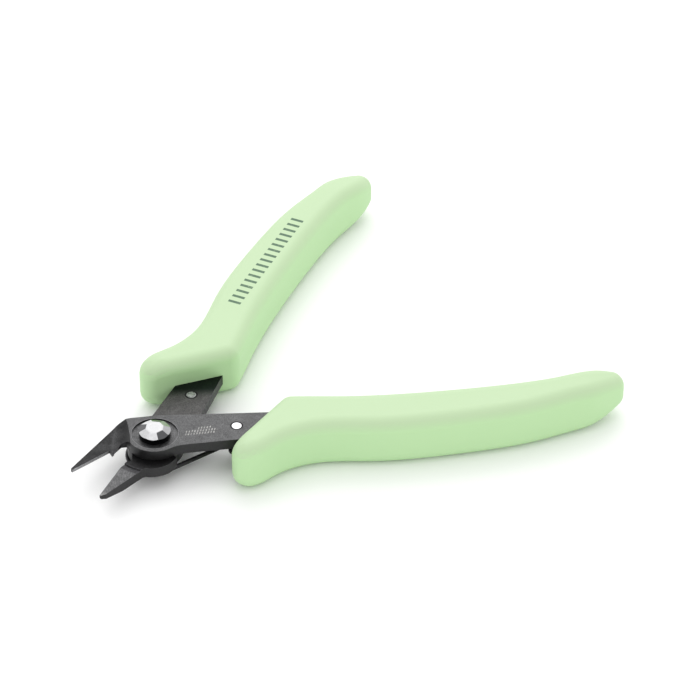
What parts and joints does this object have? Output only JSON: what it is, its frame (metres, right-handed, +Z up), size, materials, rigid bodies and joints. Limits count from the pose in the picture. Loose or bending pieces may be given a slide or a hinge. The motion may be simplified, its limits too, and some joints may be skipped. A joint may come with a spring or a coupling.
{
  "type": "sprue nippers",
  "caption": "Small side cutter for plastic sprues: two lapped steel halves on a faceted pivot bolt, wire return spring, moulded pale green grips.",
  "frame": {"origin": "centre of the footprint, on the surface the tool lies on", "axes": "+X from the handles to the jaws along the tool's axis, +Y to the upper half's handle, +Z up along the pivot"},
  "size_m": [0.114, 0.099, 0.0122],
  "materials": {
    "blackened_steel": "blackened carbon steel, fine satin grain, ground bright on the jaw faces",
    "bright_steel": "turned and polished nickel-plated steel",
    "spring_wire": "oil-blackened spring wire",
    "stud_steel": "bright faced steel",
    "grip_green": "soft matt moulded vinyl, very fine grain"
  },
  "bodies": {
    "lower_half": {"lower_blade": "blackened_steel", "lower_grip": "grip_green", "lower_spring_stud": "stud_steel", "pivot_bolt": "bright_steel", "pivot_nut": "bright_steel", "return_spring": "spring_wire"},
    "upper_half": {"upper_blade": "blackened_steel", "upper_grip": "grip_green", "upper_spring_stud": "stud_steel"}
  },
  "joints": [
    {"name": "pivot", "type": "hinge", "parent": "lower_half", "child": "upper_half", "pos_m": [0.03699, 0, 0.0061], "axis": [0, 0, 1], "range_deg": [0, 27.3], "stiffness_Nm_per_rad": 0.9, "deforming": ["return_spring"]}
  ]
}
